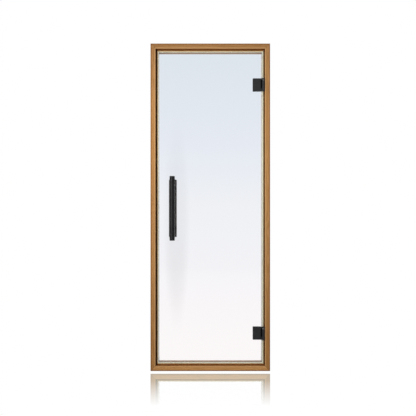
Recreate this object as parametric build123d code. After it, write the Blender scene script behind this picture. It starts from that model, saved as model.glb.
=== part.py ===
from build123d import *
import os

# A framed glass sauna door: a mitred timber frame, one pane of toughened glass hung on two
# clamp hinges, and a pull handle on each side of the pane.
# Millimetres. X runs across the door, Y from the outside into the sauna, Z up.
# The origin is the middle of the sill's base, halfway through the frame's depth.

# Timber frame
frame_width = 690.0
frame_height = 1890.0
frame_depth = 92.0
lip_width = 30.0  # face of the frame beside the pane
stop_width = 18.0  # how far the stop stands past the lip
rebate_depth = 24.0
arris = 2.0  # rounding of the edges that a hand meets
fixing_hole_diameter = 7.0
fixing_head_diameter = 15.0
fixing_head_depth = 12.0
fixing_end = 150.0  # from each end of a jamb to its nearest fixing
fixing_setback = 22.0  # behind the stop's front face

# Silicone seal on the stop
seal_width = 10.0
seal_wall = 1.5
seal_round = 3.4  # rounding of the bulb where it meets the pane
seal_free_gap = 0.3  # between the seal and the closed pane
seal_stem = 2.6
seal_stem_depth = 5.0
seal_barb = 0.5  # how far each barb stands past the stem
seal_setback = 0.8  # from the stop's inner edge
kerf_gap = 0.1  # between the barbs and the kerf's walls
kerf_spare = 1.5  # kerf deeper than the stem

# Pane
glass_thickness = 8.0
glass_gap = 9.0  # between the pane's edge and the lip
hinge_glass_gap = 7.0  # the same at the hinges
glass_setback = 10.0  # pane's front face behind the frame's front
glass_corner = 3.0
glass_arris = 0.8
glass_hole_gap = 0.1  # around a bush

# Clamp hinges
upper_hinge_drop = 238.0  # from the top of the frame to the hinge's middle
lower_hinge_rise = 218.0  # from the bottom of the frame to the hinge's middle
hinge_height = 75.0
clamp_width = 47.0
clamp_edge = 14.0  # from the hinge's axis to the plates' nearest edge
clamp_thickness = 7.0
clamp_corner = 2.0
clamp_chamfer = 0.8
cover_reach = 6.5  # how far the front plate's thin edge reaches towards the barrel
cover_thickness = 2.5
axis_before_frame = 1.0  # hinge axis in front of the frame's face
axis_to_lip = 9.0  # from the hinge's axis across to the lip's inner face
barrel_diameter = 16.0
top_ear = 10.0
bottom_ear = 19.0
ear_web = 5.0  # thickness of the arm between plate and barrel
ear_fillet = 2.0
pin_diameter = 8.0
pin_recess = 1.0
pin_chamfer = 0.6
pin_running_gap = 0.05
washer_thickness = 1.0
washer_rim = 0.5  # washer's edge inside the barrel's
ear_end_gap = 0.3  # between a turning ear and what it faces
leaf_thickness = 2.0
leaf_stop_gap = 2.0  # between the frame leaf and the stop
leaf_corner = 3.0
leaf_screw_pitch = 26.0
leaf_screw_setback = 9.0  # from the leaf's back edge
leaf_screw_diameter = 4.5
leaf_screw_head = 8.4
leaf_screw_length = 22.0
gasket_thickness = 1.0
gasket_inset = 1.0
clamp_bolt_pitch = 40.0
clamp_bolt_diameter = 6.0
clamp_bolt_head = 12.0
clamp_bolt_grip = 5.0  # depth of thread in the front plate
clamp_bolt_socket = 4.0
clamp_bolt_socket_depth = 2.5
thread_runout = 0.5  # a blind hole past its bolt's end
thread_gap = 0.05
bolt_gap = 0.2  # around a bolt in a plain hole
bush_wall = 3.5

# Handles
handle_height = 939.0
handle_to_edge = 87.5  # from the pane's free edge to the handles' centre line
post_pitch = 220.0
post_diameter = 20.0
rosette_diameter = 38.0
rosette_thickness = 4.0
rosette_chamfer = 1.0
handle_washer_inset = 1.0
outer_bar_diameter = 30.0
outer_bar_wall = 2.0
outer_bar_overhang = 75.0  # past each post's axis
outer_hand_gap = 35.0
cap_thickness = 4.0
cap_chamfer = 1.2
cap_plug_depth = 7.0
cap_plug_gap = 0.1
inner_bar_width = 45.0
inner_bar_thickness = 25.0
inner_bar_overhang = 57.5  # past each post's axis
inner_bar_corner = 4.0
inner_bar_chamfer = 2.5
inner_hand_gap = 40.0
handle_bolt_diameter = 8.0
handle_bolt_head = 13.0
handle_bolt_head_height = 6.0
handle_bolt_grip = 18.0
handle_bolt_socket = 6.0
handle_bolt_socket_depth = 3.5
head_pocket_diameter = 15.0
head_pocket_depth = 10.0

# Places that follow from the sizes above
past = 1.0  # how far a cutting shape runs past the face it cuts
close = 0.01  # how near two coordinates lie that are the same
frame_front = -frame_depth / 2
frame_back = frame_depth / 2
stop_front = frame_front + rebate_depth
member_thickness = lip_width + stop_width
reveal = member_thickness - frame_width / 2  # the left jamb's inner face
lip_inner = frame_width / 2 - lip_width
fixing_heights = (fixing_end, frame_height / 2, frame_height - fixing_end)
kerf_width = seal_stem + 2 * (seal_barb + kerf_gap)
kerf_depth = seal_stem_depth + kerf_spare
seal_middle = member_thickness - seal_setback - seal_width / 2
glass_front = frame_front + glass_setback
glass_back = glass_front + glass_thickness
glass_left = glass_gap - lip_inner
glass_right = lip_inner - hinge_glass_gap
glass_bottom = lip_width + glass_gap
glass_top = frame_height - lip_width - glass_gap
axis_x = lip_inner - axis_to_lip
axis_y = frame_front - axis_before_frame
hinge_heights = {"upper": frame_height - upper_hinge_drop, "lower": lower_hinge_rise}
clamp_right = axis_x - clamp_edge
clamp_middle = clamp_right - clamp_width / 2
front_clamp_back = glass_front - gasket_thickness
front_clamp_front = front_clamp_back - clamp_thickness
back_clamp_front = glass_back + gasket_thickness
back_clamp_back = back_clamp_front + clamp_thickness
knuckle_rise = bottom_ear + ear_end_gap  # from the hinge's lower end
knuckle_length = hinge_height - knuckle_rise - washer_thickness - ear_end_gap - top_ear
clamp_bolt_hole = clamp_bolt_diameter + 2 * bolt_gap
handle_bolt_hole = handle_bolt_diameter + 2 * bolt_gap
handle_x = glass_left + handle_to_edge
post_heights = {"lower": handle_height - post_pitch / 2, "upper": handle_height + post_pitch / 2}
outer_bar_length = post_pitch + 2 * outer_bar_overhang
inner_bar_length = post_pitch + 2 * inner_bar_overhang
outer_axis_y = glass_front - outer_hand_gap - outer_bar_diameter / 2
outer_foot = glass_front - gasket_thickness
inner_foot = glass_back + gasket_thickness
inner_bar_front = glass_back + inner_hand_gap
inner_bar_back = inner_bar_front + inner_bar_thickness
pocket_floor = inner_bar_back - head_pocket_depth


def slab(x0, x1, y0, y1, z0, z1):
    return Pos((x0 + x1) / 2, (y0 + y1) / 2, (z0 + z1) / 2) * Box(x1 - x0, y1 - y0, z1 - z0)


def rod_x(y, z, x0, x1, diameter):
    return Pos((x0 + x1) / 2, y, z) * Rot(0, 90, 0) * Cylinder(diameter / 2, x1 - x0)


def rod_y(x, z, y0, y1, diameter):
    return Pos(x, (y0 + y1) / 2, z) * Rot(90, 0, 0) * Cylinder(diameter / 2, y1 - y0)


def rod_z(x, y, z0, z1, diameter):
    return Pos(x, y, (z0 + z1) / 2) * Cylinder(diameter / 2, z1 - z0)


def turned(points, place):
    # a turned solid: each point is a radius and a distance along the place's normal
    face = make_face(Polyline(points, close=True))
    return place * revolve(Plane.XZ * face, Axis.Z)


def upright_plate(width, height, corner, x, y0, y1, z):
    # a plate with rounded corners that stands across the door
    place = Plane(origin=(x, y0, z), x_dir=(1, 0, 0), z_dir=(0, 1, 0))
    return extrude(place * RectangleRounded(width, height, corner), y1 - y0)


def countersink_depth(diameter, head):
    # a flat head's cone is as deep as it is wide at each side
    return (head - diameter) / 2


# Frame and seal


def frame_section():
    # local X runs from the member's outer face towards the pane, local Y through the depth
    outline = [
        (0, frame_front),
        (lip_width, frame_front),
        (lip_width, stop_front),
        (member_thickness, stop_front),
        (member_thickness, frame_back),
        (0, frame_back),
    ]
    face = make_face(Polyline(outline, close=True))
    handled = [v for v in face.vertices() if abs(v.Y - stop_front) > close]
    kerf = Pos(seal_middle, stop_front + kerf_depth / 2) * Rectangle(kerf_width, kerf_depth)
    return fillet(handled, arris) - kerf


def seal_section():
    # a hollow bulb on the stop's face, and a barbed stem in the stop's kerf
    bulb_height = stop_front - glass_back - seal_free_gap
    bulb = Pos(0, -bulb_height / 2) * Rectangle(seal_width, bulb_height)
    bulb = fillet(bulb.vertices().sort_by(Axis.Y)[:2], seal_round)
    hollow = SlotOverall(seal_width - 2 * seal_wall, bulb_height - 2 * seal_wall)
    stem = Pos(0, seal_stem_depth / 2) * Rectangle(seal_stem, seal_stem_depth)
    tip = seal_stem / 2 + seal_barb
    half = seal_stem_depth / 2
    barbs = make_face(Polyline([(-tip, half), (tip, half), (0, seal_stem_depth)], close=True))
    return Pos(seal_middle, stop_front) * (bulb - Pos(0, -bulb_height / 2) * hollow + stem + barbs)


def mitred(section, upright):
    # the left jamb or the sill in a given section, cut at 45 degrees at both ends
    half, deep, tall = frame_width / 2, member_thickness, frame_height
    if upright:
        start = Plane(origin=(-half, 0, 0), x_dir=(1, 0, 0), z_dir=(0, 0, 1))
        bar = extrude(start * section, tall)
        outline = [(-half, 0), (-half, tall), (deep - half, tall - deep), (deep - half, deep)]
    else:
        start = Plane(origin=(half, 0, 0), x_dir=(0, 0, 1), z_dir=(-1, 0, 0))
        bar = extrude(start * section, frame_width)
        outline = [(-half, 0), (half, 0), (half - deep, deep), (deep - half, deep)]
    trapezoid = make_face(Polyline(outline, close=True))
    return bar & extrude(Plane.XZ * trapezoid, frame_depth, both=True)


def drilled_jamb():
    jamb = mitred(frame_section(), True)
    y = stop_front + fixing_setback
    for z in fixing_heights:
        jamb -= rod_x(y, z, reveal - frame_width, reveal + past, fixing_hole_diameter)
        jamb -= rod_x(y, z, reveal - fixing_head_depth, reveal + past, fixing_head_diameter)
    return jamb


def frame_pieces():
    jamb, rail, seal = drilled_jamb(), mitred(frame_section(), False), seal_section()
    side_seal, end_seal = mitred(seal, True), mitred(seal, False)
    hinge_jamb = mirror(jamb, about=Plane.YZ)
    for height in hinge_heights.values():
        for y, z in leaf_screw_places(height):
            hole = leaf_screw_diameter + 2 * thread_gap
            end = lip_inner - leaf_thickness + leaf_screw_length + thread_runout
            hinge_jamb -= rod_x(y, z, lip_inner - past, end, hole)
    half_height = Plane.XY.offset(frame_height / 2)
    return {
        "jamb_left": jamb,
        "jamb_right": hinge_jamb,
        "sill_rail": rail,
        "head_rail": mirror(rail, about=half_height),
        "seal_left": side_seal,
        "seal_right": mirror(side_seal, about=Plane.YZ),
        "seal_bottom": end_seal,
        "seal_top": mirror(end_seal, about=half_height),
    }


# Pane


def glass_pane():
    middle_x, middle_z = (glass_left + glass_right) / 2, (glass_top + glass_bottom) / 2
    size = (glass_right - glass_left, glass_top - glass_bottom, glass_corner)
    pane = upright_plate(*size, middle_x, glass_front, glass_back, middle_z)
    faces = pane.faces().sort_by(Axis.Y)
    pane = chamfer(faces[0].edges() + faces[-1].edges(), glass_arris)
    holes = [(handle_x, z, handle_bolt_hole) for z in post_heights.values()]
    for height in hinge_heights.values():
        holes += [(clamp_middle, z, clamp_bolt_hole) for z in clamp_bolt_places(height)]
    for x, z, bolt_hole in holes:
        hole = bolt_hole + 2 * (bush_wall + glass_hole_gap)
        pane -= rod_y(x, z, glass_front - past, glass_back + past, hole)
    return pane


def bush(x, z, bolt_hole):
    # a sleeve that keeps a bolt off the glass
    sleeve = rod_y(x, z, glass_front, glass_back, bolt_hole + 2 * bush_wall)
    return sleeve - rod_y(x, z, glass_front - past, glass_back + past, bolt_hole)


# Hinges


def clamp_bolt_places(height):
    return [height - clamp_bolt_pitch / 2, height + clamp_bolt_pitch / 2]


def leaf_screw_places(height):
    # the frame leaf's two screws, either side of the knuckle's middle
    middle = height - hinge_height / 2 + knuckle_rise + knuckle_length / 2
    y = stop_front - leaf_stop_gap - leaf_screw_setback
    return [(y, middle - leaf_screw_pitch / 2), (y, middle + leaf_screw_pitch / 2)]


def clamp_plate(height, y0, y1, outer_face):
    # a plate on one side of the pane with its outer rim chamfered, at the front for 0 and the back for -1
    plate = upright_plate(clamp_width, hinge_height, clamp_corner, clamp_middle, y0, y1, height)
    return chamfer(plate.faces().sort_by(Axis.Y)[outer_face].edges(), clamp_chamfer)


def ear(z0, z1, outer_end):
    # an arm from the front plate to the barrel, bored to turn on the pin, with the rim of one
    # end chamfered: the lower for 0 and the upper for -1
    web_back = axis_y + barrel_diameter / 2
    web_front = web_back - ear_web
    start = clamp_right - clamp_corner - ear_fillet
    web = Pos((start + axis_x) / 2, (web_front + web_back) / 2) * Rectangle(axis_x - start, ear_web)
    profile = web + Pos(axis_x, axis_y) * Circle(barrel_diameter / 2)
    hollow = [v for v in profile.vertices() if abs(v.Y - web_front) < close and v.X > start + close]
    arm = extrude(Plane.XY.offset(z0) * fillet(hollow, ear_fillet), z1 - z0)
    arm = chamfer(arm.faces().sort_by(Axis.Z)[outer_end].edges(), clamp_chamfer)
    return arm - rod_z(axis_x, axis_y, z0 - past, z1 + past, pin_diameter + 2 * pin_running_gap)


def front_clamp(height):
    low, high = height - hinge_height / 2, height + hinge_height / 2
    clamp = clamp_plate(height, front_clamp_front, front_clamp_back, 0)
    clamp += ear(high - top_ear, high, -1)
    clamp += ear(low, low + bottom_ear, 0)
    thin = front_clamp_back - cover_thickness
    clamp += slab(clamp_middle, clamp_right + cover_reach, thin, front_clamp_back, low, high)
    end = front_clamp_back - clamp_bolt_grip - thread_runout
    for z in clamp_bolt_places(height):
        clamp -= rod_y(clamp_middle, z, end, front_clamp_back, clamp_bolt_diameter + 2 * thread_gap)
    return clamp


def back_clamp(height):
    plate = clamp_plate(height, back_clamp_front, back_clamp_back, -1)
    deep = countersink_depth(clamp_bolt_diameter, clamp_bolt_head)
    r = clamp_bolt_hole / 2
    outline = [(0, 0), (r + deep, 0), (r, deep), (r, clamp_thickness + past), (0, clamp_thickness + past)]
    for z in clamp_bolt_places(height):
        plate -= turned(outline, Plane(origin=(clamp_middle, back_clamp_back, z), z_dir=(0, -1, 0)))
    return plate


def clamp_bolt(z):
    # from the back plate through the pane into the front plate
    r, head = clamp_bolt_diameter / 2, clamp_bolt_head / 2
    deep = countersink_depth(clamp_bolt_diameter, clamp_bolt_head)
    long = back_clamp_back - front_clamp_back + clamp_bolt_grip
    place = Plane(origin=(clamp_middle, back_clamp_back, z), z_dir=(0, -1, 0))
    bolt = turned([(0, 0), (head, 0), (r, deep), (r, long), (0, long)], place)
    key = RegularPolygon(clamp_bolt_socket / 2, 6, major_radius=False)
    return bolt - extrude(place * key, clamp_bolt_socket_depth)


def gasket_pair(height):
    sheets = []
    wide, tall = clamp_width - 2 * gasket_inset, hinge_height - 2 * gasket_inset
    for y0 in (outer_foot, glass_back):
        y1 = y0 + gasket_thickness
        left = clamp_middle - wide / 2
        sheet = slab(left, left + wide, y0, y1, height - tall / 2, height + tall / 2)
        for z in clamp_bolt_places(height):
            sheet -= rod_y(clamp_middle, z, y0 - past, y1 + past, clamp_bolt_hole)
        sheets.append(sheet)
    return Compound(sheets)


def frame_leaf(height):
    # the fixed knuckle and its leaf, screwed to the lip's inner face
    z0 = height - hinge_height / 2 + knuckle_rise
    z1 = z0 + knuckle_length
    start = lip_inner - leaf_thickness
    leaf = slab(start, lip_inner, frame_front, stop_front - leaf_stop_gap, z0, z1)
    leaf = fillet(leaf.edges().filter_by(Axis.X).group_by(Axis.Y)[-1], leaf_corner)
    piece = leaf + rod_z(axis_x, axis_y, z0, z1, barrel_diameter)
    piece -= rod_z(axis_x, axis_y, z0 - past, z1 + past, pin_diameter)
    deep = countersink_depth(leaf_screw_diameter, leaf_screw_head)
    r = leaf_screw_diameter / 2 + thread_gap
    end = leaf_thickness + past
    outline = [(0, 0), (r + deep, 0), (r, deep), (r, end), (0, end)]
    for y, z in leaf_screw_places(height):
        piece -= turned(outline, Plane(origin=(start, y, z), z_dir=(1, 0, 0)))
    return piece


def leaf_screw(y, z):
    r, head, long = leaf_screw_diameter / 2, leaf_screw_head / 2, leaf_screw_length
    deep = countersink_depth(leaf_screw_diameter, leaf_screw_head)
    outline = [(0, 0), (head, 0), (r, deep), (r, long - leaf_screw_diameter), (0, long)]
    return turned(outline, Plane(origin=(lip_inner - leaf_thickness, y, z), z_dir=(1, 0, 0)))


def hinge_pin(height):
    half = hinge_height / 2 - pin_recess
    pin = rod_z(axis_x, axis_y, height - half, height + half, pin_diameter)
    return chamfer(pin.edges().filter_by(GeomType.CIRCLE), pin_chamfer)


def bearing_washer(height):
    # between the fixed knuckle and the ear that carries the leaf's weight
    z0 = height - hinge_height / 2 + knuckle_rise + knuckle_length
    z1 = z0 + washer_thickness
    ring = rod_z(axis_x, axis_y, z0, z1, barrel_diameter - 2 * washer_rim)
    return ring - rod_z(axis_x, axis_y, z0 - past, z1 + past, pin_diameter + 2 * pin_running_gap)


def hinge_pieces(name, height):
    bolts, screws = clamp_bolt_places(height), leaf_screw_places(height)
    return {
        f"{name}_hinge_frame_leaf": frame_leaf(height),
        f"{name}_hinge_leaf_screws": Compound([leaf_screw(y, z) for y, z in screws]),
        f"{name}_hinge_pin": hinge_pin(height),
        f"{name}_hinge_washer": bearing_washer(height),
        f"{name}_hinge_front_clamp": front_clamp(height),
        f"{name}_hinge_back_clamp": back_clamp(height),
        f"{name}_hinge_gaskets": gasket_pair(height),
        f"{name}_hinge_bushes": Compound([bush(clamp_middle, z, clamp_bolt_hole) for z in bolts]),
        f"{name}_hinge_clamp_bolts": Compound([clamp_bolt(z) for z in bolts]),
    }


# Handles


def rosette_post(place, long):
    # a turned post with a round foot on the pane
    foot, post = rosette_diameter / 2, post_diameter / 2
    rim = rosette_thickness - rosette_chamfer
    outline = [(0, 0), (foot, 0), (foot, rim), (foot - rosette_chamfer, rosette_thickness)]
    outline += [(post, rosette_thickness), (post, long), (0, long)]
    return turned(outline, place)


def outer_post(z):
    # coped to the bar at one end and bored for the handle bolt's thread at the other
    place = Plane(origin=(handle_x, outer_foot, z), z_dir=(0, -1, 0))
    post = rosette_post(place, outer_foot - outer_axis_y)
    post -= rod_z(handle_x, outer_axis_y, z - post_diameter, z + post_diameter, outer_bar_diameter)
    end = outer_foot - handle_bolt_grip - thread_runout
    return post - rod_y(handle_x, z, end, outer_foot, handle_bolt_diameter + 2 * thread_gap)


def inner_post(z):
    place = Plane(origin=(handle_x, inner_foot, z), z_dir=(0, 1, 0))
    post = rosette_post(place, inner_bar_front - inner_foot)
    return post - rod_y(handle_x, z, inner_foot - past, inner_bar_front + past, handle_bolt_hole)


def outer_bar():
    half = outer_bar_length / 2 - cap_thickness
    low, high = handle_height - half, handle_height + half
    tube = rod_z(handle_x, outer_axis_y, low, high, outer_bar_diameter)
    return tube - rod_z(handle_x, outer_axis_y, low, high, outer_bar_diameter - 2 * outer_bar_wall)


def bar_cap(side):
    # a chamfered cap with a plug inside the tube, at the upper end for side 1 and the lower for -1
    cap = Pos(0, 0, cap_thickness / 2) * Cylinder(outer_bar_diameter / 2, cap_thickness)
    cap = chamfer(cap.edges().group_by(Axis.Z)[-1], cap_chamfer)
    inside = outer_bar_diameter / 2 - outer_bar_wall - cap_plug_gap
    cap += Pos(0, 0, -cap_plug_depth / 2) * Cylinder(inside, cap_plug_depth)
    end = handle_height + side * (outer_bar_length / 2 - cap_thickness)
    return Plane(origin=(handle_x, outer_axis_y, end), z_dir=(0, 0, side)) * cap


def inner_bar():
    # a flat-sided bar with chamfered edges and two pockets that hide the bolt heads
    size = (inner_bar_width, inner_bar_length, inner_bar_corner)
    bar = upright_plate(*size, handle_x, inner_bar_front, inner_bar_back, handle_height)
    faces = bar.faces().sort_by(Axis.Y)
    bar = chamfer(faces[0].edges() + faces[-1].edges(), inner_bar_chamfer)
    for z in post_heights.values():
        bar -= rod_y(handle_x, z, inner_bar_front - past, pocket_floor + past, handle_bolt_hole)
        bar -= rod_y(handle_x, z, pocket_floor, inner_bar_back + past, head_pocket_diameter)
    return bar


def handle_bolt(z):
    # from the pocket in the inner bar through the pane into the outer post
    r, wide, head = handle_bolt_diameter / 2, handle_bolt_head / 2, handle_bolt_head_height
    top = pocket_floor + head
    long = top - outer_foot + handle_bolt_grip
    place = Plane(origin=(handle_x, top, z), z_dir=(0, -1, 0))
    bolt = turned([(0, 0), (wide, 0), (wide, head), (r, head), (r, long), (0, long)], place)
    key = RegularPolygon(handle_bolt_socket / 2, 6, major_radius=False)
    return bolt - extrude(place * key, handle_bolt_socket_depth)


def handle_washer(z, y0):
    y1 = y0 + gasket_thickness
    disc = rod_y(handle_x, z, y0, y1, rosette_diameter - 2 * handle_washer_inset)
    return disc - rod_y(handle_x, z, y0 - past, y1 + past, handle_bolt_hole)


def handle_pieces():
    heights = post_heights.values()
    washers = [handle_washer(z, y) for z in heights for y in (outer_foot, glass_back)]
    pieces = {
        "outer_handle_bar": outer_bar(),
        "outer_handle_caps": Compound([bar_cap(1), bar_cap(-1)]),
        "inner_handle_bar": inner_bar(),
        "handle_bolts": Compound([handle_bolt(z) for z in heights]),
        "handle_bushes": Compound([bush(handle_x, z, handle_bolt_hole) for z in heights]),
        "handle_washers": Compound(washers),
    }
    for name, z in post_heights.items():
        pieces[f"outer_handle_{name}_post"] = outer_post(z)
        pieces[f"inner_handle_{name}_post"] = inner_post(z)
    return pieces


os.makedirs("parts", exist_ok=True)
pieces = {**frame_pieces(), "glass_pane": glass_pane(), **handle_pieces()}
for name, height in hinge_heights.items():
    pieces.update(hinge_pieces(name, height))
for name, shape in pieces.items():
    export_step(shape, f"parts/{name}.step")
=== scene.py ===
import math

import bmesh
import bpy
from mathutils import Matrix, Vector


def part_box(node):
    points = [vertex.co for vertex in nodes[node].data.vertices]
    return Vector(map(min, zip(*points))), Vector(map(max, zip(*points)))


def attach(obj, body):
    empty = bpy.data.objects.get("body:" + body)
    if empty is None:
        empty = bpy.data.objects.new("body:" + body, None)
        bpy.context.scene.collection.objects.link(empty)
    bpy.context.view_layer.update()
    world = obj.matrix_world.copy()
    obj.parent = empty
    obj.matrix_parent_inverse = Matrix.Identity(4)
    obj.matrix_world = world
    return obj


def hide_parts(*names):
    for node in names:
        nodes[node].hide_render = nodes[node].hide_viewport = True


# A framed glass sauna door, closed, seen square from the front on a white floor.
# Metres. X runs across the door, Y from the outside into the sauna, Z up.

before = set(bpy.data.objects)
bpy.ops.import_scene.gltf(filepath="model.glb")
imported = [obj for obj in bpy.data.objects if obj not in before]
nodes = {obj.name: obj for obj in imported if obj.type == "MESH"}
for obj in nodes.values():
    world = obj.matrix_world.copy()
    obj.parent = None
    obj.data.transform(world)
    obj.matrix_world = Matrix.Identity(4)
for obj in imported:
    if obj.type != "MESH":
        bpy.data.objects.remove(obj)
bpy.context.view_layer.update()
print("door loaded:", len(nodes), "parts")


# Shader helpers


def wire(tree, source, target):
    tree.links.new(source, target)


def feed(tree, socket, value):
    # a socket takes another node's output or a plain value
    if isinstance(value, bpy.types.NodeSocket):
        wire(tree, value, socket)
    else:
        socket.default_value = value


def mathNode(tree, operation, first, second=0.5, clamp=False):
    node = tree.nodes.new("ShaderNodeMath")
    node.operation = operation
    node.use_clamp = clamp
    feed(tree, node.inputs[0], first)
    feed(tree, node.inputs[1], second)
    return node.outputs[0]


def rangeNode(tree, value, low, high, start=0.0, end=1.0, smooth=False):
    node = tree.nodes.new("ShaderNodeMapRange")
    node.interpolation_type = "SMOOTHSTEP" if smooth else "LINEAR"
    feed(tree, node.inputs["Value"], value)
    for label, amount in zip(("From Min", "From Max", "To Min", "To Max"), (low, high, start, end)):
        node.inputs[label].default_value = amount
    return node.outputs["Result"]


def mixColour(tree, share, first, second, blend="MIX"):
    node = tree.nodes.new("ShaderNodeMix")
    node.data_type = "RGBA"
    node.blend_type = blend
    feed(tree, node.inputs["Factor"], share)
    feed(tree, node.inputs["A"], first)
    feed(tree, node.inputs["B"], second)
    return node.outputs["Result"]


def mixShader(tree, share, first, second):
    node = tree.nodes.new("ShaderNodeMixShader")
    feed(tree, node.inputs["Fac"], share)
    wire(tree, first, node.inputs[1])
    wire(tree, second, node.inputs[2])
    return node.outputs["Shader"]


def rampNode(tree, value, stops):
    # colours at given values, blended between them
    node = tree.nodes.new("ShaderNodeValToRGB")
    low, high = stops[0][0], stops[-1][0]
    while len(node.color_ramp.elements) < len(stops):
        node.color_ramp.elements.new(0.5)
    for element, (level, shade) in zip(node.color_ramp.elements, stops):
        element.position = (level - low) / (high - low)
        element.color = (*shade, 1)
    wire(tree, rangeNode(tree, value, low, high), node.inputs["Fac"])
    return node.outputs["Color"]


def noiseNode(tree, place, scale, detail=2.0, roughness=0.5, distortion=0.0):
    node = tree.nodes.new("ShaderNodeTexNoise")
    feed(tree, node.inputs["Vector"], place)
    settings = {"Scale": scale, "Detail": detail, "Roughness": roughness, "Distortion": distortion}
    for label, amount in settings.items():
        feed(tree, node.inputs[label], amount)
    return node.outputs["Fac"]


def mappingNode(tree, place, location=(0, 0, 0), rotation=(0, 0, 0), scale=(1, 1, 1)):
    node = tree.nodes.new("ShaderNodeMapping")
    feed(tree, node.inputs["Vector"], place)
    node.inputs["Location"].default_value = location
    node.inputs["Rotation"].default_value = rotation
    node.inputs["Scale"].default_value = scale
    return node.outputs["Vector"]


def separateNode(tree, vector):
    node = tree.nodes.new("ShaderNodeSeparateXYZ")
    wire(tree, vector, node.inputs[0])
    return node.outputs


def bumpNode(tree, height, distance, strength=1.0):
    node = tree.nodes.new("ShaderNodeBump")
    node.inputs["Distance"].default_value = distance
    node.inputs["Strength"].default_value = strength
    wire(tree, height, node.inputs["Height"])
    return node.outputs["Normal"]


def startGroup(name, inputs, outputs):
    group = bpy.data.node_groups.new(name, "ShaderNodeTree")
    for label, kind, value in inputs:
        socket = group.interface.new_socket(name=label, in_out="INPUT", socket_type=kind)
        if value is not None:
            socket.default_value = value
    for label, kind in outputs:
        group.interface.new_socket(name=label, in_out="OUTPUT", socket_type=kind)
    given = group.nodes.new("NodeGroupInput").outputs
    result = group.nodes.new("NodeGroupOutput").inputs
    return group, given, result


def useGroup(tree, group, **values):
    node = tree.nodes.new("ShaderNodeGroup")
    node.node_tree = group
    for label, value in values.items():
        feed(tree, node.inputs[label.replace("_", " ")], value)
    return node.outputs


def startMaterial(name, **plain):
    # a Principled material with its plain numbers, and the place on the piece
    mat = bpy.data.materials.new(name)
    mat.use_nodes = True
    tree = mat.node_tree
    shader = tree.nodes["Principled BSDF"]
    for label, value in plain.items():
        shader.inputs[label.replace("_", " ")].default_value = value
    place = tree.nodes.new("ShaderNodeTexCoord").outputs["Object"]
    return mat, tree, shader, place


def dress(mat, *names):
    # the CAD nodes of these names get the material
    for name in names:
        for slot in nodes[name].material_slots:
            slot.material = mat


def addObject(name, data):
    thing = bpy.data.objects.new(name, data)
    bpy.context.scene.collection.objects.link(thing)
    return thing


number, vector, colour = "NodeSocketFloat", "NodeSocketVector", "NodeSocketColor"
white, black = (1, 1, 1, 1), (0, 0, 0, 1)


# Effects that several finishes share

grainLook = {
    # each kind of mark: its scale, the share of that along the grain, detail, roughness and distortion
    "figure": (34, 0.05, 2, 0.5, 0.3),
    "streaks": (420, 0.03, 4, 0.6, 0.0),
    "fibres": (1900, 0.02, 2, 0.5, 0.0),
    "pores": (2300, 0.055, 1, 0.4, 0.0),
    "rings": 62,
    # how much rings, streaks and fibres count in the tone
    "shares": (0.34, 0.42, 0.26),
    "toneRange": (0.22, 0.8),
    "poreRange": (0.64, 0.72),
    "poreShade": (0.45, 0.4, 0.36, 1),
    "poreShare": 0.7,
    "fibreHeight": 0.5,
}


def marksOf(tree, place, kind):
    # noise drawn out along Z
    scale, along, *settings = grainLook[kind]
    return noiseNode(tree, mappingNode(tree, place, scale=(1, 1, along)), scale, *settings)


def makeWoodGrain():
    # grain runs along the vector's Z: broad figure, fine streaks and short pores
    inputs = [
        ("Vector", vector, None),
        ("Pale", colour, (0.5, 0.3, 0.15, 1)),
        ("Deep", colour, (0.3, 0.15, 0.06, 1)),
    ]
    outputs = [("Colour", colour), ("Pores", number), ("Height", number)]
    group, given, result = startGroup("woodGrain", inputs, outputs)
    figure = marksOf(group, given["Vector"], "figure")
    rings = mathNode(group, "SINE", mathNode(group, "MULTIPLY", figure, grainLook["rings"]))
    rings = rangeNode(group, rings, -1, 1)
    streaks = marksOf(group, given["Vector"], "streaks")
    fibres = marksOf(group, given["Vector"], "fibres")
    tone = 0.0
    for marks, share in zip((rings, streaks, fibres), grainLook["shares"]):
        tone = mathNode(group, "ADD", tone, mathNode(group, "MULTIPLY", marks, share))
    grain = mixColour(group, rangeNode(group, tone, *grainLook["toneRange"]), given["Deep"], given["Pale"])
    pores = marksOf(group, given["Vector"], "pores")
    pores = rangeNode(group, pores, *grainLook["poreRange"], smooth=True)
    shade = mixColour(group, 1.0, given["Deep"], grainLook["poreShade"], "MULTIPLY")
    share = mathNode(group, "MULTIPLY", pores, grainLook["poreShare"])
    height = mathNode(group, "MULTIPLY", fibres, grainLook["fibreHeight"])
    height = mathNode(group, "SUBTRACT", height, pores)
    wire(group, mixColour(group, share, grain, shade), result["Colour"])
    wire(group, pores, result["Pores"])
    wire(group, height, result["Height"])
    return group


def makeEdgeRub():
    # 1 on outer edges and 0 on flats, from how a rounded edge would turn the surface
    inputs = [("Radius", number, 0.001), ("Spread", number, 0.5)]
    group, given, result = startGroup("edgeRub", inputs, [("Mask", number)])
    rounded = group.nodes.new("ShaderNodeBevel")
    rounded.samples = 6
    wire(group, given["Radius"], rounded.inputs["Radius"])
    geometry = group.nodes.new("ShaderNodeNewGeometry").outputs
    dot = group.nodes.new("ShaderNodeVectorMath")
    dot.operation = "DOT_PRODUCT"
    wire(group, rounded.outputs["Normal"], dot.inputs[0])
    wire(group, geometry["Normal"], dot.inputs[1])
    turned = mathNode(group, "SUBTRACT", 1.0, dot.outputs["Value"])
    wire(group, mathNode(group, "DIVIDE", turned, given["Spread"], clamp=True), result["Mask"])
    return group


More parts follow.
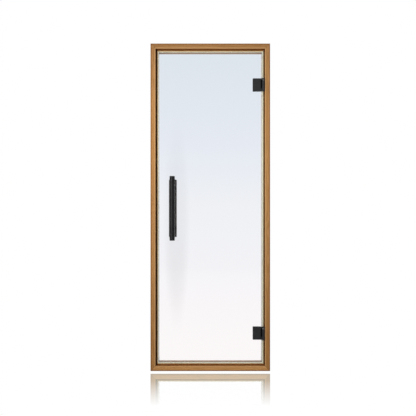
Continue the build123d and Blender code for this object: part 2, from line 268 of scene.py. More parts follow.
def makeCreviceShade():
    # 1 deep in gaps and corners, where little light comes, and 0 in the open
    inputs = [("Reach", number, 0.02), ("Depth", number, 0.5)]
    group, given, result = startGroup("creviceShade", inputs, [("Mask", number)])
    around = group.nodes.new("ShaderNodeAmbientOcclusion")
    around.samples = 8
    wire(group, given["Reach"], around.inputs["Distance"])
    closed = mathNode(group, "SUBTRACT", 1.0, around.outputs["AO"])
    wire(group, mathNode(group, "MULTIPLY", closed, given["Depth"], clamp=True), result["Mask"])
    return group


speckleLook = {
    "peelDetail": 2.0,
    "peelShare": 0.4,
    "cloudScale": 38.0,
    "cloudDetail": 3.0,
    "toneRange": (0.45, 0.95),
}


def makeSpeckle():
    # the small orange-peel and dots of powder coat, moulded plastic and rubber
    inputs = [("Vector", vector, None), ("Scale", number, 1000.0)]
    outputs = [("Height", number), ("Tone", number)]
    group, given, result = startGroup("fineSpeckle", inputs, outputs)
    peel = noiseNode(group, given["Vector"], given["Scale"], speckleLook["peelDetail"])
    cloud = noiseNode(group, given["Vector"], speckleLook["cloudScale"], speckleLook["cloudDetail"])
    tone = mathNode(group, "ADD", mathNode(group, "MULTIPLY", peel, speckleLook["peelShare"]), cloud)
    wire(group, peel, result["Height"])
    wire(group, rangeNode(group, tone, *speckleLook["toneRange"]), result["Tone"])
    return group


mitreLook = {"fade": (0.0003, 0.0011)}  # from the middle of the shut line to its edge


def makeMitreLine():
    # the fine shut line where the frame's members meet at 45 degrees
    inputs = [("Vector", vector, None), ("Half width", number, None), ("Height", number, None)]
    group, given, result = startGroup("mitreLine", inputs, [("Mask", number)])
    x, _, z = separateNode(group, given["Vector"])
    side = mathNode(group, "SUBTRACT", given["Half width"], mathNode(group, "ABSOLUTE", x))
    end = mathNode(group, "MINIMUM", z, mathNode(group, "SUBTRACT", given["Height"], z))
    off = mathNode(group, "ABSOLUTE", mathNode(group, "SUBTRACT", side, end))
    wire(group, rangeNode(group, off, *mitreLook["fade"], 1, 0, True), result["Mask"])
    return group


woodGrain = makeWoodGrain()
edgeRub = makeEdgeRub()
creviceShade = makeCreviceShade()
fineSpeckle = makeSpeckle()
mitreLine = makeMitreLine()
print("shared effects made")


# Timber frame

frameLow = Vector(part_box("sill_rail")[0])
frameHigh = Vector(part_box("head_rail")[1])
timberLook = {
    "halfWidth": frameHigh.x,
    "height": frameHigh.z,
    "front": frameLow.y,
    "lipWidth": 0.030,
    "rebateDepth": 0.024,
    "pale": (0.61, 0.310, 0.107, 1),
    "deep": (0.41, 0.188, 0.052, 1),
    "rubbed": (0.70, 0.40, 0.17, 1),
    # next three: the dark of the shut lines, which also serves as painted shade on the lip's inner edge,
    # then painted shade for the outer edge and towards the floor
    "shutLineAndShade": (0.10, 0.045, 0.018, 1),
    "outerEdgeShade": (0.30, 0.115, 0.022, 1),
    "footTint": (0.85, 0.77, 0.60, 1),
    "smear": (0.90, 0.88, 0.74, 1),
    "roughness": (0.42, 0.56),
    "poreRoughness": 0.2,
    "sheen": 0.28,
    "coatWeight": 0.06,
    "coatRoughness": (0.28, 0.08),
    "grainHeight": 0.00012,
    "shutLineDepth": 3,
    # how strongly each effect shows
    "rubShare": 0.35,
    "patchShare": 0.16,
    "outerEdgeShare": 0.9,
    "lipBandShare": 0.55,
    # how coarse each effect is, and where it starts and ends: metres, or shares of its mask
    "rubRadius": 0.0016,
    "rubSpread": 0.4,
    "patchScale": 7,
    "patchDrawn": 0.3,
    "patchRange": (0.35, 0.65),
    "footFade": (0.05, 0.75),
    "outerEdgeDepth": (0.002, 0.010),
    "outerEdgeFade": (0.0035, 0.009),
    "lipBandInset": 0.004,
    "lipBandFade": (0.0025, 0.0045),
    "lipInset": (0.003, 0.001),
    "creviceReach": 0.03,
    "creviceDepth": 0.9,
    "rebateRange": (0.38, 0.70),
    "stopBlur": 0.001,
    "innerFace": (0.038, 0.044),
    "revealShadeFade": (0.012, 0.044),
    "smearMiddle": 0.0485,
    "smearFade": (0.0014, 0.0022),
    "smearDepth": 0.0025,
    # how each member differs: its figure's shift, its tone, the painted shade deep in its rebate, the
    # painted shade on its lip's inner edge, the silicone wiped on its stop's edge, its lacquer behind the
    # pane, the painted shade on its faces behind the pane and how much painted shade it gets towards the
    # floor
    "members": {
        "jamb_left": {
            "shift": (0.31, 0.12, 0.4), "tone": 0.96, "rebateShade": (0.07, 0.010, 0.0005, 1), "lip": 0.8,
            "smeared": 0.9, "lacquer": 1.0, "revealShade": white, "foot": 0.5,
        },
        "jamb_right": {
            "shift": (1.73, 0.55, 2.9), "tone": 0.98, "rebateShade": (0.05, 0.008, 0.0004, 1), "lip": 0.0,
            "smeared": 0.0, "lacquer": 0.7, "revealShade": white, "foot": 1.0,
        },
        "head_rail": {
            "shift": (2.11, 0.83, 1.3), "tone": 0.86, "rebateShade": (0.27, 0.085, 0.014, 1), "lip": 0.0,
            "smeared": 1.0, "lacquer": 0.06, "revealShade": (0.68, 0.70, 0.66, 1), "foot": 0.0,
        },
        "sill_rail": {
            "shift": (4.07, 0.29, 0.7), "tone": 1.28, "rebateShade": (0.30, 0.085, 0.012, 1), "lip": 0.0,
            "smeared": 0.9, "lacquer": 0.05, "revealShade": (0.49, 0.51, 0.54, 1), "foot": 0.0,
        },
    },
}


def toned(shade, tone):
    return (*(part * tone for part in shade[:3]), 1)


def fromOutside(tree, place):
    # the distance from the frame's nearest side or end
    x, _, z = separateNode(tree, place)
    side = mathNode(tree, "SUBTRACT", timberLook["halfWidth"], mathNode(tree, "ABSOLUTE", x))
    end = mathNode(tree, "MINIMUM", z, mathNode(tree, "SUBTRACT", timberLook["height"], z))
    return mathNode(tree, "MINIMUM", side, end)


def offFrom(tree, value, middle):
    return mathNode(tree, "ABSOLUTE", mathNode(tree, "SUBTRACT", value, middle))


def outerFaces(tree, wornAndShaded, outer, depth, look):
    # painted shade darkens the front's outer edge, a paler band runs along the lip, and painted shade
    # darkens its inner edge
    start, end = (timberLook["front"] + inset for inset in timberLook["outerEdgeDepth"])
    edge = rangeNode(tree, depth, start, end, 1, 0, True)
    across = rangeNode(tree, outer, *timberLook["outerEdgeFade"], timberLook["outerEdgeShare"], 0, True)
    wornAndShaded = mixColour(tree, mathNode(tree, "MULTIPLY", edge, across), wornAndShaded, timberLook["outerEdgeShade"])
    lipPaleBand = offFrom(tree, outer, timberLook["lipWidth"] - timberLook["lipBandInset"])
    lipPaleBand = rangeNode(tree, lipPaleBand, *timberLook["lipBandFade"], timberLook["lipBandShare"], 0, True)
    wornAndShaded = mixColour(tree, lipPaleBand, wornAndShaded, timberLook["rubbed"])
    start, end = (timberLook["lipWidth"] - inset for inset in timberLook["lipInset"])
    lip = rangeNode(tree, outer, start, end, 0, look["lip"])
    return mixColour(tree, lip, wornAndShaded, timberLook["shutLineAndShade"])


def innerFaces(tree, wornAndShaded, outer, depth, behindPane, look):
    # painted shade darkens the rails next to the pane, less so towards their backs
    revealFade = rangeNode(tree, depth, *timberLook["revealShadeFade"], 1, 0, True)
    wornAndShaded = mixColour(tree, mathNode(tree, "MULTIPLY", behindPane, revealFade), wornAndShaded, look["revealShade"], "MULTIPLY")
    # some silicone was wiped along the stop's edge
    smeared = offFrom(tree, outer, timberLook["smearMiddle"])
    smeared = rangeNode(tree, smeared, *timberLook["smearFade"], look["smeared"], 0, True)
    end = timberLook["front"] + timberLook["rebateDepth"] + timberLook["smearDepth"]
    smeared = mathNode(tree, "MULTIPLY", smeared, mathNode(tree, "LESS_THAN", depth, end))
    return mixColour(tree, smeared, wornAndShaded, timberLook["smear"])


def frameTimber(name, look):
    mat, tree, shader, place = startMaterial(name, Coat_IOR=1.5, Specular_IOR_Level=timberLook["sheen"])
    _, depth, up = separateNode(tree, place)
    outer = fromOutside(tree, place)
    turn = (0, 0, 0) if "jamb" in name else (0, math.pi / 2, 0)
    along = mappingNode(tree, place, look["shift"], turn)
    pale, deep = (toned(timberLook[shade], look["tone"]) for shade in ("pale", "deep"))
    grain = useGroup(tree, woodGrain, Vector=along, Pale=pale, Deep=deep)
    rub = useGroup(tree, edgeRub, Radius=timberLook["rubRadius"], Spread=timberLook["rubSpread"])["Mask"]
    rub = mathNode(tree, "MULTIPLY", rub, timberLook["rubShare"])
    wornAndShaded = mixColour(tree, rub, grain["Colour"], timberLook["rubbed"])
    drawn = mappingNode(tree, along, scale=(1, 1, timberLook["patchDrawn"]))
    patches = noiseNode(tree, drawn, timberLook["patchScale"], 2)
    darker = rangeNode(tree, patches, *timberLook["patchRange"], 0, timberLook["patchShare"])
    wornAndShaded = mixColour(tree, darker, wornAndShaded, timberLook["deep"])
    # painted shade: the jambs are darker and warmer towards the floor, where less light falls
    foot = rangeNode(tree, up, *timberLook["footFade"], look["foot"], 0, True)
    wornAndShaded = mixColour(tree, foot, wornAndShaded, timberLook["footTint"], "MULTIPLY")
    wornAndShaded = outerFaces(tree, wornAndShaded, outer, depth, look)
    # painted shade darkens the timber deep in the rebate, and nothing shines there
    reach, strength = timberLook["creviceReach"], timberLook["creviceDepth"]
    shade = useGroup(tree, creviceShade, Reach=reach, Depth=strength)["Mask"]
    deepIn = rangeNode(tree, shade, *timberLook["rebateRange"], smooth=True)
    wornAndShaded = mixColour(tree, deepIn, wornAndShaded, look["rebateShade"])
    # the inner faces behind the pane are lacquered against steam
    stop, blur = timberLook["front"] + timberLook["rebateDepth"], timberLook["stopBlur"]
    behindPane = rangeNode(tree, depth, stop - blur, stop + blur)
    behindPane = mathNode(tree, "MULTIPLY", behindPane, rangeNode(tree, outer, *timberLook["innerFace"]))
    lacquered = mathNode(tree, "MULTIPLY", behindPane, look["lacquer"])
    oiled = rangeNode(tree, deepIn, 0, 1, timberLook["coatWeight"], 0)
    wire(tree, mathNode(tree, "MAXIMUM", oiled, lacquered), shader.inputs["Coat Weight"])
    smoother = rangeNode(tree, behindPane, 0, 1, *timberLook["coatRoughness"])
    wire(tree, smoother, shader.inputs["Coat Roughness"])
    wornAndShaded = innerFaces(tree, wornAndShaded, outer, depth, behindPane, look)
    width, height = timberLook["halfWidth"], timberLook["height"]
    line = useGroup(tree, mitreLine, Vector=place, Half_width=width, Height=height)["Mask"]
    wire(tree, mixColour(tree, line, wornAndShaded, timberLook["shutLineAndShade"]), shader.inputs["Base Color"])
    rough = mathNode(tree, "MULTIPLY", grain["Pores"], timberLook["poreRoughness"])
    rough = mathNode(tree, "ADD", rough, rangeNode(tree, patches, 0, 1, *timberLook["roughness"]))
    wire(tree, mathNode(tree, "MAXIMUM", rough, deepIn), shader.inputs["Roughness"])
    sunk = mathNode(tree, "MULTIPLY", line, timberLook["shutLineDepth"])
    relief = mathNode(tree, "SUBTRACT", grain["Height"], sunk)
    wire(tree, bumpNode(tree, relief, timberLook["grainHeight"]), shader.inputs["Normal"])
    return mat


for member, look in timberLook["members"].items():
    dress(frameTimber("oiled_timber_" + member, look), member)


# Silicone seal

sealLook = {
    "ior": 1.42,
    "speckle": 700.0,
    "speckleHeight": 0.00006,
    "roughness": (0.34, 0.5),
    "waver": 0.0004,
    "waverScale": 9,
    "waverRange": (0.3, 0.7),
    # the colours of each length, by their distance from the frame's outside: painted shade towards the
    # gap, and each side coloured for the light that falls on it
    "shadedBands": {
        "left": [
            (0.0377, (0.66, 0.38, 0.14)),
            (0.0402, (0.94, 0.72, 0.40)),
            (0.0427, (0.97, 0.93, 0.76)),
            (0.0462, (0.98, 0.98, 0.97)),
        ],
        "right": [
            (0.0375, (1.0, 0.80, 0.40)),
            (0.0405, (0.91, 0.81, 0.53)),
            (0.0440, (0.84, 0.82, 0.62)),
            (0.0470, (0.78, 0.84, 0.80)),
        ],
        "top": [
            (0.0409, (0.66, 0.38, 0.14)),
            (0.0437, (0.94, 0.69, 0.34)),
            (0.0462, (0.97, 0.90, 0.66)),
            (0.0480, (0.98, 0.96, 0.82)),
        ],
        "bottom": [
            (0.0398, (0.66, 0.38, 0.14)),
            (0.0425, (0.94, 0.70, 0.36)),
            (0.0450, (0.97, 0.92, 0.72)),
            (0.0483, (0.98, 0.98, 0.92)),
        ],
    },
}


def siliconeSeal(side):
    # the translucent bulb takes on the timber's colour towards the gap, darkened further there as painted
    # shade, along a line that wavers
    mat, tree, shader, place = startMaterial("cream_silicone_" + side, IOR=sealLook["ior"])
    speckle = useGroup(tree, fineSpeckle, Vector=place, Scale=sealLook["speckle"])
    waver = noiseNode(tree, place, sealLook["waverScale"], 3)
    waver = rangeNode(tree, waver, *sealLook["waverRange"], -sealLook["waver"], sealLook["waver"])
    across = mathNode(tree, "ADD", fromOutside(tree, place), waver)
    wire(tree, rampNode(tree, across, sealLook["shadedBands"][side]), shader.inputs["Base Color"])
    wire(tree, rangeNode(tree, speckle["Tone"], 0, 1, *sealLook["roughness"]), shader.inputs["Roughness"])
    wire(tree, bumpNode(tree, speckle["Height"], sealLook["speckleHeight"]), shader.inputs["Normal"])
    return mat


for side in sealLook["shadedBands"]:
    dress(siliconeSeal(side), "seal_" + side)
print("frame and seal dressed")


# Pane

glassLook = {
    "ior": 1.5,
    "body": (0.975, 0.985, 0.98, 1),
    "rim": (0.94, 0.82, 0.62, 1),
    "rimDepth": 0.005,
    "rimShift": 0.0015,  # moves the rim's tint to the right, so the hinges' side is paler
    # the painted shadow round the handles
    "handleShade": (0.885, 0.885, 0.885, 1),
    "handleShadeMiddle": (-0.195, 0.85),
    "handleShadeReach": (0.084, 0.66),
    "handleShadeFade": (0.45, 1.45),
    "handleShadeTop": 0.35,
    "passed": (0.97, 0.98, 0.975, 1),
    "passedAtRim": (0.60, 0.54, 0.42, 1),
}


def nearRim(tree, place):
    # 1 at the pane's edge and 0 a little inside it
    low, high = (Vector(corner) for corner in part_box("glass_pane"))
    middle, half = (low + high) / 2, (high - low) / 2
    x, _, z = separateNode(tree, place)
    side = offFrom(tree, x, middle.x + glassLook["rimShift"])
    side = mathNode(tree, "SUBTRACT", half.x + glassLook["rimShift"], side)
    end = mathNode(tree, "SUBTRACT", half.z, offFrom(tree, z, middle.z))
    return rangeNode(tree, mathNode(tree, "MINIMUM", side, end), 0.0, glassLook["rimDepth"], 1, 0, True)


def paintedHandleShadow(tree, place):
    # painted shadow: a faint soft oval of shade on the pane round the handles
    x, _, z = separateNode(tree, place)
    spread = 0.0
    for value, middle, reach in zip((x, z), glassLook["handleShadeMiddle"], glassLook["handleShadeReach"]):
        off = mathNode(tree, "DIVIDE", offFrom(tree, value, middle), reach)
        spread = mathNode(tree, "ADD", spread, mathNode(tree, "POWER", off, 2.0))
    handleShade = rangeNode(tree, spread, 0.0, 1.0, 1, 0, True)
    fainter = rangeNode(tree, z, *glassLook["handleShadeFade"], 1, glassLook["handleShadeTop"])
    return mathNode(tree, "MULTIPLY", handleShade, fainter)


def clearGlass():
    # lamps pass straight through the pane, and the eye sees real glass
    mat, tree, shader, place = startMaterial(
        "clearToughenedGlass", IOR=glassLook["ior"], Transmission_Weight=1.0, Roughness=0.0)
    near = nearRim(tree, place)
    tint = mixColour(tree, near, glassLook["body"], glassLook["rim"])
    tint = mixColour(tree, paintedHandleShadow(tree, place), tint, glassLook["handleShade"], "MULTIPLY")
    wire(tree, tint, shader.inputs["Base Color"])
    passed = mixColour(tree, near, glassLook["passed"], glassLook["passedAtRim"])
    through = tree.nodes.new("ShaderNodeBsdfTransparent")
    wire(tree, passed, through.inputs["Color"])
    path = tree.nodes.new("ShaderNodeLightPath").outputs
    lamps = mathNode(tree, "MAXIMUM", path["Is Shadow Ray"], path["Is Diffuse Ray"])
    pane = mixShader(tree, lamps, shader.outputs["BSDF"], through.outputs["BSDF"])
    wire(tree, pane, tree.nodes["Material Output"].inputs["Surface"])
    return mat


dress(clearGlass(), "glass_pane")


# Black metal of the hinges and handles

blackLook = {
    "coat": (0.007, 0.007, 0.008, 1),
    "bloom": (0.014, 0.014, 0.016, 1),
    "rubbed": (0.05, 0.05, 0.052, 1),
    # painted shade in narrow grooves
    "grooveShade": (0.002, 0.002, 0.002, 1),
    "grooveRange": (0.15, 0.75),
    "grooveReach": 0.012,
    "grooveDepth": 1.3,
    "rubRadius": 0.0006,
    "rubSpread": 0.5,
    "speckle": 1500.0,
    "speckleHeight": 0.00005,
    "speckleStrength": 0.6,
    "roughnessSpread": 0.05,
    "hinges": {"roughness": 0.38, "rubShare": 0.4, "gloss": 0.55},
    "handles": {"roughness": 0.30, "rubShare": 0.2, "gloss": 0.3},
}


def blackPowderCoat(name, look):
    mat, tree, shader, place = startMaterial(name, Specular_IOR_Level=look["gloss"])
    speckle = useGroup(tree, fineSpeckle, Vector=place, Scale=blackLook["speckle"])
    rub = useGroup(tree, edgeRub, Radius=blackLook["rubRadius"], Spread=blackLook["rubSpread"])["Mask"]
    rub = mathNode(tree, "MULTIPLY", rub, look["rubShare"])
    coat = mixColour(tree, speckle["Tone"], blackLook["coat"], blackLook["bloom"])
    coat = mixColour(tree, rub, coat, blackLook["rubbed"])
    # painted shade: narrow grooves are made a black metal, which gives back no light
    reach, strength = blackLook["grooveReach"], blackLook["grooveDepth"]
    shade = useGroup(tree, creviceShade, Reach=reach, Depth=strength)["Mask"]
    grooveShade = rangeNode(tree, shade, *blackLook["grooveRange"])
    wire(tree, mixColour(tree, grooveShade, coat, blackLook["grooveShade"]), shader.inputs["Base Color"])
    wire(tree, grooveShade, shader.inputs["Metallic"])
    low, high = (look["roughness"] + sign * blackLook["roughnessSpread"] for sign in (-1, 1))
    rough = rangeNode(tree, speckle["Tone"], 0, 1, low, high)
    wire(tree, mathNode(tree, "MAXIMUM", rough, grooveShade), shader.inputs["Roughness"])
    relief = bumpNode(tree, speckle["Height"], blackLook["speckleHeight"], blackLook["speckleStrength"])
    wire(tree, relief, shader.inputs["Normal"])
    return mat


hingeBlack = blackPowderCoat("blackHingeCoat", blackLook["hinges"])
handleBlack = blackPowderCoat("blackHandleCoat", blackLook["handles"])
for hinge in ("upper_hinge", "lower_hinge"):
    dress(hingeBlack, hinge + "_frame_leaf", hinge + "_front_clamp", hinge + "_back_clamp")
dress(handleBlack, "outer_handle_bar", "outer_handle_caps")
for end in ("upper", "lower"):
    dress(handleBlack, "outer_handle_" + end + "_post", "inner_handle_" + end + "_post")


# Inner handle of dark stained timber

innerBarLook = {
    "pale": (0.036, 0.027, 0.022, 1),
    "deep": (0.015, 0.012, 0.011, 1),
    "rubbed": (0.08, 0.055, 0.042, 1),
    "rubShare": 0.3,
    "rubRadius": 0.002,
    "rubSpread": 0.5,
    "shift": (0.6, 0.2, 0.1),
    "sheen": 0.35,
    "roughness": (0.46, 0.7),
    "grainHeight": 0.00015,
}


def stainedTimber():
    mat, tree, shader, place = startMaterial("darkStainedTimber", Specular_IOR_Level=innerBarLook["sheen"])
    along = mappingNode(tree, place, innerBarLook["shift"])
    grain = useGroup(tree, woodGrain, Vector=along, Pale=innerBarLook["pale"], Deep=innerBarLook["deep"])
    radius, spread = innerBarLook["rubRadius"], innerBarLook["rubSpread"]
    rub = useGroup(tree, edgeRub, Radius=radius, Spread=spread)["Mask"]
    rub = mathNode(tree, "MULTIPLY", rub, innerBarLook["rubShare"])
    wire(tree, mixColour(tree, rub, grain["Colour"], innerBarLook["rubbed"]), shader.inputs["Base Color"])
    rough = rangeNode(tree, grain["Pores"], 0, 1, *innerBarLook["roughness"])
    wire(tree, rough, shader.inputs["Roughness"])
    wire(tree, bumpNode(tree, grain["Height"], innerBarLook["grainHeight"]), shader.inputs["Normal"])
    return mat


dress(stainedTimber(), "inner_handle_bar")


# Steel, nylon and rubber

steelLook = {
    "bright": (0.62, 0.62, 0.63, 1),
    "revealFade": (0.44, 0.44, 0.45, 1),
    "brushStretch": (1, 12, 12),
    "brushScale": 160,
    "brushRange": (0.2, 0.8),
    "smoother": 0.06,
    "rougher": 0.08,
    "speckle": 2400.0,
    "speckleHeight": 0.00002,
    "screws": {"roughness": 0.34, "tone": (0.30, 0.30, 0.31, 1)},
    "pins": {"roughness": 0.22, "tone": white},
}
softLook = {
    "roughnessSpread": 0.06,
    "nylon": {
        "base": (0.70, 0.69, 0.65, 1), "spot": (0.60, 0.59, 0.55, 1),
        "roughness": 0.46, "speckle": 900.0, "speckleHeight": 0.00004,
    },
    "rubber": {
        "base": (0.020, 0.020, 0.021, 1), "spot": (0.034, 0.034, 0.035, 1),
        "roughness": 0.72, "speckle": 700.0, "speckleHeight": 0.00008,
    },
}


def steel(name, look):
    # finely brushed along X
    mat, tree, shader, place = startMaterial(name, Metallic=1.0)
    stretched = mappingNode(tree, place, scale=steelLook["brushStretch"])
    brushed = noiseNode(tree, stretched, steelLook["brushScale"], 3, 0.6)
    speckle = useGroup(tree, fineSpeckle, Vector=place, Scale=steelLook["speckle"])
    shade = mixColour(tree, brushed, steelLook["revealFade"], steelLook["bright"])
    wire(tree, mixColour(tree, 1.0, shade, look["tone"], "MULTIPLY"), shader.inputs["Base Color"])
    low, high = look["roughness"] - steelLook["smoother"], look["roughness"] + steelLook["rougher"]
    wire(tree, rangeNode(tree, brushed, *steelLook["brushRange"], low, high), shader.inputs["Roughness"])
    wire(tree, bumpNode(tree, speckle["Height"], steelLook["speckleHeight"]), shader.inputs["Normal"])
    return mat


def softPart(name, look):
    mat, tree, shader, place = startMaterial(name)
    speckle = useGroup(tree, fineSpeckle, Vector=place, Scale=look["speckle"])
    wire(tree, mixColour(tree, speckle["Tone"], look["base"], look["spot"]), shader.inputs["Base Color"])
    low, high = (look["roughness"] + sign * softLook["roughnessSpread"] for sign in (-1, 1))
    wire(tree, rangeNode(tree, speckle["Tone"], 0, 1, low, high), shader.inputs["Roughness"])
    wire(tree, bumpNode(tree, speckle["Height"], look["speckleHeight"]), shader.inputs["Normal"])
    return mat


screwSteel = steel("blackenedScrewSteel", steelLook["screws"])
pinSteel = steel("groundPinSteel", steelLook["pins"])
nylon = softPart("whiteNylon", softLook["nylon"])
rubber = softPart("blackRubber", softLook["rubber"])
for hinge in ("upper_hinge", "lower_hinge"):
    dress(screwSteel, hinge + "_leaf_screws", hinge + "_clamp_bolts")
    dress(pinSteel, hinge + "_pin")
    dress(nylon, hinge + "_washer", hinge + "_bushes")
    dress(rubber, hinge + "_gaskets")
dress(screwSteel, "handle_bolts")
dress(nylon, "handle_bushes")
dress(rubber, "handle_washers")
print("pane, hinges and handles dressed")


# Wood screws of the frame leaves, with a star recess and a wound thread

screwLook = {
    "segments": 24,
    "shank": 0.00225,
    "core": 0.00155,
    "plain": 0.0075,
    "neck": 0.0004,
    "tip": 0.0045,
    "point": 0.00005,
    "starOuter": 0.0021,
    "starInner": 0.0015,
    "starDepth": 0.0016,
    "pitch": 0.0021,
    "toothShare": 0.36,
}


def kindOf(kind, parts):
    return [part for part in parts if isinstance(part, kind)]


def ringOf(shape, segments, radius):
    points = bmesh.ops.create_circle(shape, segments=segments, radius=radius)["verts"]
    return points, list({edge for point in points for edge in point.link_edges})


def drawRing(shape, ring, depth, radius=None):
    # a further ring of the screw's skin, at a depth below the head's face
    grown = bmesh.ops.extrude_edge_only(shape, edges=ring)["geom"]
    for point in kindOf(bmesh.types.BMVert, grown):
        across = point.co.xy if radius is None else point.co.xy.normalized() * radius
        point.co = (*across, depth)
    return kindOf(bmesh.types.BMEdge, grown)


def windThread(shape, start, end):
    # one small triangle wound round the core, closed at both ends
    steps, turns = screwLook["segments"], (end - start) / screwLook["pitch"]
    size = screwLook["pitch"] * screwLook["toothShare"]
    tooth, edges = ringOf(shape, 3, size)
    stand = Matrix.Rotation(math.pi / 2, 4, "X") @ Matrix.Rotation(-math.pi / 2, 4, "Z")
    stand = Matrix.Translation((screwLook["shank"] - size, 0, start)) @ stand
    bmesh.ops.transform(shape, matrix=stand, verts=tooth)
    rise = (0, 0, screwLook["pitch"] / steps)
    angle = 2 * math.pi * turns
    wound = bmesh.ops.spin(
        shape, geom=tooth + edges, axis=(0, 0, 1), dvec=rise, angle=angle, steps=round(turns * steps))
    bmesh.ops.contextual_create(shape, geom=edges)
    bmesh.ops.contextual_create(shape, geom=kindOf(bmesh.types.BMEdge, wound["geom_last"]))


def woodScrew(shape, head, length, place):
    # made along Z from the head's face down, then laid along X at its place
    screw = bmesh.new()
    shank, core, plain = screwLook["shank"], screwLook["core"], screwLook["plain"]
    _, rim = ringOf(screw, screwLook["segments"], head)
    points, star = ringOf(screw, screwLook["segments"], screwLook["starOuter"])
    for point in points[::2]:
        point.co *= screwLook["starInner"] / screwLook["starOuter"]
    bmesh.ops.bridge_loops(screw, edges=rim + star)
    bmesh.ops.edgeloop_fill(screw, edges=drawRing(screw, star, screwLook["starDepth"]))
    neck, end = plain + screwLook["neck"], length - screwLook["tip"]
    tipRadius = screwLook["point"]
    rings = ((shank, head - shank), (shank, plain), (core, neck), (core, end), (tipRadius, length))
    for radius, depth in rings:
        rim = drawRing(screw, rim, depth, radius)
    bmesh.ops.edgeloop_fill(screw, edges=rim)
    windThread(screw, plain, end)
    bmesh.ops.recalc_face_normals(screw, faces=screw.faces)
    lay = Matrix.Translation(place) @ Matrix.Rotation(math.pi / 2, 4, "Y")
    bmesh.ops.transform(screw, matrix=lay, verts=screw.verts)
    part = bpy.data.meshes.new("screw")
    screw.to_mesh(part)
    screw.free()
    shape.from_mesh(part)
    bpy.data.meshes.remove(part)


def screwPair(hinge):
    # both screws of one frame leaf, at the places of the plain ones
    low, high = (Vector(corner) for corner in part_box(hinge + "_leaf_screws"))
    head = (high.y - low.y) / 2
    pair = bmesh.new()
    for z in (low.z + head, high.z - head):
        woodScrew(pair, head, high.x - low.x, (low.x, low.y + head, z))
    mesh = bpy.data.meshes.new(hinge + "_wood_screws")
    pair.to_mesh(mesh)
    pair.free()
    mesh.materials.append(screwSteel)
    piece = addObject(hinge + "_wood_screws", mesh)
    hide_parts(hinge + "_leaf_screws")
    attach(piece, "frame")


for hinge in ("upper_hinge", "lower_hinge"):
    screwPair(hinge)
print("wood screws made")


# Floor: plain white, with a polish just in front of the door that fades away on three sides

floorLook = {
    "height": -0.0085,  # a little below the sill, which leaves the pale line under it
    "reach": 9.0,
    "polish": (0.595, 0.615, 0.675, 1),
    "polishStart": -0.086,
    "polishFade": (-0.95, -0.30),
    "polishSides": (0.37, 0.45),
    "polishSlant": (0.35, 0.7),
    # its light on the door, in front of it and behind it
    "bounce": (0.30, 1.0),
    "bounceFade": (0.1, 0.7),
    # as seen through the pane, near and far
    "seenNear": (1.02, 0.975, 0.985, 1),
    "seenFar": (0.95, 0.938, 0.975, 1),
    "seenFade": (1.0, 9.0),
}


def polishShare(tree, x, y, path):
    # the polish shows to the camera alone, and only along the floor, not from above
    share = rangeNode(tree, y, *floorLook["polishFade"])
    share = mathNode(tree, "MULTIPLY", share, mathNode(tree, "LESS_THAN", y, floorLook["polishStart"]))
    beside = rangeNode(tree, mathNode(tree, "ABSOLUTE", x), *floorLook["polishSides"], 1, 0, True)
    share = mathNode(tree, "MULTIPLY", share, beside)
    slant = tree.nodes.new("ShaderNodeLayerWeight").outputs["Facing"]
    slant = rangeNode(tree, slant, *floorLook["polishSlant"], smooth=True)
    share = mathNode(tree, "MULTIPLY", share, slant)
    return mathNode(tree, "MULTIPLY", share, path["Is Camera Ray"])


def paleFloor():
    mat = bpy.data.materials.new("paleFloor")
    mat.use_nodes = True
    tree = mat.node_tree
    tree.nodes.remove(tree.nodes["Principled BSDF"])
    x, y, _ = separateNode(tree, tree.nodes.new("ShaderNodeTexCoord").outputs["Object"])
    path = tree.nodes.new("ShaderNodeLightPath").outputs
    seen = mixColour(
        tree, rangeNode(tree, y, *floorLook["seenFade"]), floorLook["seenNear"], floorLook["seenFar"])
    bounce = rangeNode(tree, y, *floorLook["bounceFade"], *floorLook["bounce"])
    light = mixColour(tree, path["Is Transmission Ray"], bounce, seen)
    # what the polish mirrors of each colour is taken from the floor's own white
    polish = mixColour(tree, polishShare(tree, x, y, path), black, floorLook["polish"])
    own = mixColour(tree, 1.0, white, polish, "SUBTRACT")
    glow = tree.nodes.new("ShaderNodeEmission")
    wire(tree, mixColour(tree, path["Is Camera Ray"], light, own), glow.inputs["Color"])
    mirror = tree.nodes.new("ShaderNodeBsdfGlossy")
    mirror.inputs["Roughness"].default_value = 0.0
    wire(tree, polish, mirror.inputs["Color"])
    both = tree.nodes.new("ShaderNodeAddShader")
    wire(tree, glow.outputs["Emission"], both.inputs[0])
    wire(tree, mirror.outputs["BSDF"], both.inputs[1])
    wire(tree, both.outputs["Shader"], tree.nodes["Material Output"].inputs["Surface"])
    return mat


def makeFloor():
    grid = bmesh.new()
    bmesh.ops.create_grid(grid, x_segments=1, y_segments=1, size=floorLook["reach"])
    bmesh.ops.translate(grid, verts=grid.verts, vec=(0, 0, floorLook["height"]))
    mesh = bpy.data.meshes.new("floor")
    grid.to_mesh(mesh)
    grid.free()
    mesh.materials.append(paleFloor())
    addObject("floor", mesh)


makeFloor()


# Studio: white to the camera and a pale blue backdrop through the pane. The rest of its light is dim, with
# one bright band at the front left, white behind the door and grey above. Two softboxes stand at the left.

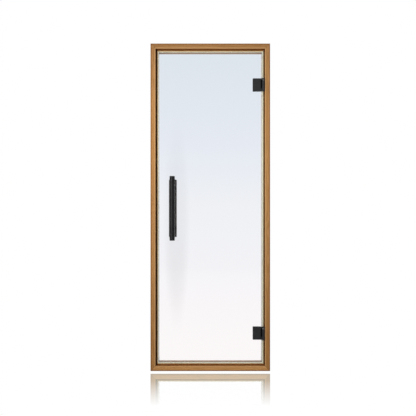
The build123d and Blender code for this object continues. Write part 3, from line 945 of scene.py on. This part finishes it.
studioLook = {
    # from the left to the right
    "around": [
        (-1.00, (0.14, 0.14, 0.14)),
        (-0.80, (0.18, 0.18, 0.18)),
        (-0.62, (3.1, 3.1, 3.1)),
        (-0.30, (3.1, 3.1, 3.1)),
        (-0.14, (0.16, 0.16, 0.165)),
        (0.14, (0.16, 0.16, 0.165)),
        (0.24, (0.30, 0.30, 0.30)),
        (0.45, (0.30, 0.30, 0.30)),
        (0.70, (0.25, 0.25, 0.25)),
        (1.00, (0.20, 0.20, 0.20)),
    ],
    "behindFade": (0.05, 0.3),
    "whiteAbove": (0.169, 0.176),
    "above": (0.52, 0.52, 0.52, 1),
    "aboveFade": (0.26, 0.5),
    # from the skyline up
    "backdrop": [
        (-0.060, (0.950, 0.938, 0.975)),
        (0.000, (0.915, 0.920, 0.956)),
        (0.070, (0.830, 0.862, 0.940)),
        (0.157, (0.768, 0.820, 0.890)),
        (0.169, (0.768, 0.820, 0.890)),
        (0.177, (1.0, 1.0, 1.0)),
    ],
    "softboxes": {
        "softboxLeft": {
            "place": (-1.07, -1.90, 1.05), "target": (0, 0, 1.05), "size": (0.45, 0.9),
            "power": 3.7, "spread": 80,
        },
        "softboxUpper": {
            "place": (-0.85, -1.30, 1.46), "target": (0, 0, 1.43), "size": (0.30, 0.25),
            "power": 0.48, "spread": 50,
        },
    },
}


def makeStudio():
    world = bpy.data.worlds.new("studio")
    bpy.context.scene.world = world
    world.use_nodes = True
    tree = world.node_tree
    background = tree.nodes["Background"]
    x, y, z = separateNode(tree, tree.nodes.new("ShaderNodeTexCoord").outputs["Generated"])
    path = tree.nodes.new("ShaderNodeLightPath").outputs
    behind = rangeNode(tree, y, *studioLook["behindFade"], smooth=True)
    behind = mathNode(tree, "MAXIMUM", behind, rangeNode(tree, z, *studioLook["whiteAbove"]))
    light = mixColour(tree, behind, rampNode(tree, x, studioLook["around"]), white)
    above = rangeNode(tree, z, *studioLook["aboveFade"], smooth=True)
    light = mixColour(tree, above, light, studioLook["above"])
    seen = mixColour(tree, path["Is Transmission Ray"], light, rampNode(tree, z, studioLook["backdrop"]))
    wire(tree, mixColour(tree, path["Is Camera Ray"], seen, white), background.inputs["Color"])


def makeSoftbox(name, look):
    lamp = bpy.data.lights.new(name, "AREA")
    lamp.shape = "RECTANGLE"
    lamp.size, lamp.size_y = look["size"]
    lamp.energy = look["power"]
    lamp.spread = math.radians(look["spread"])
    box = addObject(name, lamp)
    box.location = look["place"]
    aim = Vector(look["target"]) - Vector(look["place"])
    box.rotation_euler = aim.to_track_quat("-Z", "Y").to_euler()
    box.visible_camera = False
    box.visible_transmission = False
    box.visible_glossy = False


makeStudio()
for name, look in studioLook["softboxes"].items():
    makeSoftbox(name, look)


# Camera: level, square to the door, which stands a little right of the picture's middle

cameraLook = {
    "distance": 5.4,  # from the frame's face
    "x": -0.0133,
    "z": 0.9409,
    "seenAcross": 2.400,  # the width that fills the picture at the frame's face
    "sensor": 36.0,
}


def makeCamera():
    lens = bpy.data.cameras.new("camera")
    lens.sensor_width = cameraLook["sensor"]
    lens.lens = cameraLook["sensor"] * cameraLook["distance"] / cameraLook["seenAcross"]
    camera = addObject("camera", lens)
    camera.location = (cameraLook["x"], timberLook["front"] - cameraLook["distance"], cameraLook["z"])
    camera.rotation_euler = (math.pi / 2, 0, 0)
    bpy.context.scene.camera = camera


makeCamera()
bpy.context.scene.view_settings.view_transform = "Standard"
print("floor, studio and camera set")
